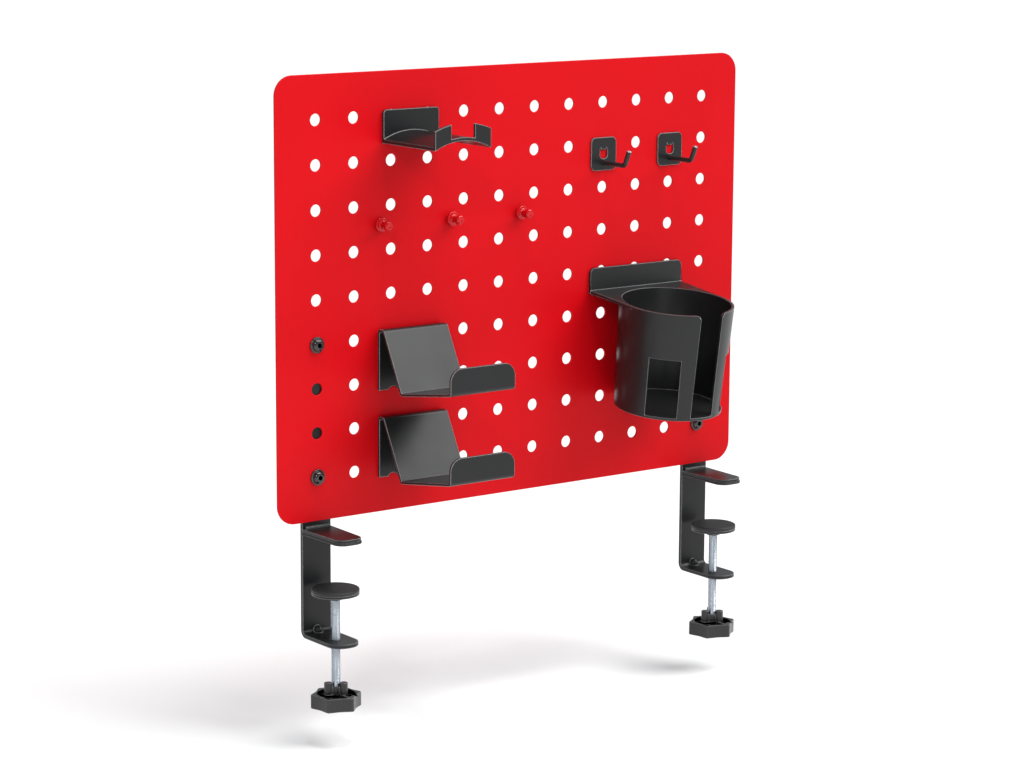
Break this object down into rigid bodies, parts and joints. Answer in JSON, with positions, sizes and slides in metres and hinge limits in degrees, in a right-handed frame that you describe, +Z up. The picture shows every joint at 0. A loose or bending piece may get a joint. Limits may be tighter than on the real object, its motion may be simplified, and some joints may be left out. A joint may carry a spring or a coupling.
{
  "type": "desk pegboard",
  "caption": "Perforated steel panel that clamps to a desk's edge, with hung holders, wire hooks, a cup holder and pin magnets.",
  "frame": {"origin": "midway between the clamps, on the desk top, where the panel's back plane meets the desk's edge", "axes": "+X to the right along the desk's edge as seen from the front, -Y out of the panel's front over the desk, +Z up"},
  "size_m": [0.498, 0.1239, 0.5376],
  "materials": {
    "red_paint": "satin",
    "black_sheet": "matt powder coat",
    "black_bolt": "satin",
    "zinc": "bright zinc plate",
    "nickel": "bright nickel plate",
    "black_rubber": "matt",
    "black_moulding": "fine texture",
    "knob_plastic": "satin",
    "red_plastic": "gloss"
  },
  "bodies": {
    "frame": {"pegboard_panel": "red_paint", "left_clamp_bracket": "black_sheet", "right_clamp_bracket": "black_sheet", "left_upper_jaw": "black_sheet", "right_upper_jaw": "black_sheet", "left_jaw_pad": "black_rubber", "right_jaw_pad": "black_rubber", "panel_screws": "black_bolt", "panel_washers": "zinc", "panel_nuts": "zinc"},
    "left_pressure_foot": {"left_pressure_cap": "black_rubber", "left_pressure_disc": "black_sheet"},
    "left_clamp_handle": {"left_clamp_screw": "zinc", "left_clamp_knob": "knob_plastic"},
    "right_pressure_foot": {"right_pressure_cap": "black_rubber", "right_pressure_disc": "black_sheet"},
    "right_clamp_handle": {"right_clamp_screw": "zinc", "right_clamp_knob": "knob_plastic"},
    "headset_rest": {"headset_holder": "black_sheet"},
    "upper_controller_rest": {"upper_controller_holder": "black_sheet"},
    "lower_controller_rest": {"lower_controller_holder": "black_sheet"},
    "left_hook": {"left_hook_plate": "black_sheet", "left_hook_rod": "black_sheet"},
    "right_hook": {"right_hook_plate": "black_sheet", "right_hook_rod": "black_sheet"},
    "cup_rest": {"cup_holder": "black_moulding"},
    "first_pin": {"first_pin_handle": "red_plastic", "first_pin_magnet": "nickel"},
    "second_pin": {"second_pin_handle": "red_plastic", "second_pin_magnet": "nickel"},
    "third_pin": {"third_pin_handle": "red_plastic", "third_pin_magnet": "nickel"}
  },
  "joints": [
    {"name": "left_clamp_travel", "type": "slide", "parent": "frame", "child": "left_pressure_foot", "axis": [0, 0, 1], "range_m": [-0.032, 0.032]},
    {"name": "left_clamp_turn", "type": "hinge", "parent": "left_pressure_foot", "child": "left_clamp_handle", "pos_m": [-0.209, -0.029, -0.0481], "axis": [0, 0, 1], "range_deg": [-9217, 9217]},
    {"name": "right_clamp_travel", "type": "slide", "parent": "frame", "child": "right_pressure_foot", "axis": [0, 0, 1], "range_m": [-0.032, 0.032]},
    {"name": "right_clamp_turn", "type": "hinge", "parent": "right_pressure_foot", "child": "right_clamp_handle", "pos_m": [0.209, -0.029, -0.0481], "axis": [0, 0, 1], "range_deg": [-9217, 9217]},
    {"name": "headset_rest_lift", "type": "slide", "parent": "frame", "child": "headset_rest", "axis": [0, 0, 1], "range_m": [0, 0.005]},
    {"name": "upper_controller_rest_lift", "type": "slide", "parent": "frame", "child": "upper_controller_rest", "axis": [0, 0, 1], "range_m": [0, 0.005]},
    {"name": "lower_controller_rest_lift", "type": "slide", "parent": "frame", "child": "lower_controller_rest", "axis": [0, 0, 1], "range_m": [0, 0.005]},
    {"name": "left_hook_lift", "type": "slide", "parent": "frame", "child": "left_hook", "axis": [0, 0, 1], "range_m": [0, 0.005]},
    {"name": "right_hook_lift", "type": "slide", "parent": "frame", "child": "right_hook", "axis": [0, 0, 1], "range_m": [0, 0.005]},
    {"name": "cup_rest_lift", "type": "slide", "parent": "frame", "child": "cup_rest", "axis": [0, 0, 1], "range_m": [0, 0.005]},
    {"name": "first_pin_pull", "type": "slide", "parent": "frame", "child": "first_pin", "axis": [0, -1, 0], "range_m": [0, 0.03]},
    {"name": "second_pin_pull", "type": "slide", "parent": "frame", "child": "second_pin", "axis": [0, -1, 0], "range_m": [0, 0.03]},
    {"name": "third_pin_pull", "type": "slide", "parent": "frame", "child": "third_pin", "axis": [0, -1, 0], "range_m": [0, 0.03]}
  ],
  "couplings": [
    {"joint": "left_clamp_turn", "follows": "left_clamp_travel", "rad_per_m": 5026.5},
    {"joint": "right_clamp_turn", "follows": "right_clamp_travel", "rad_per_m": 5026.5}
  ]
}
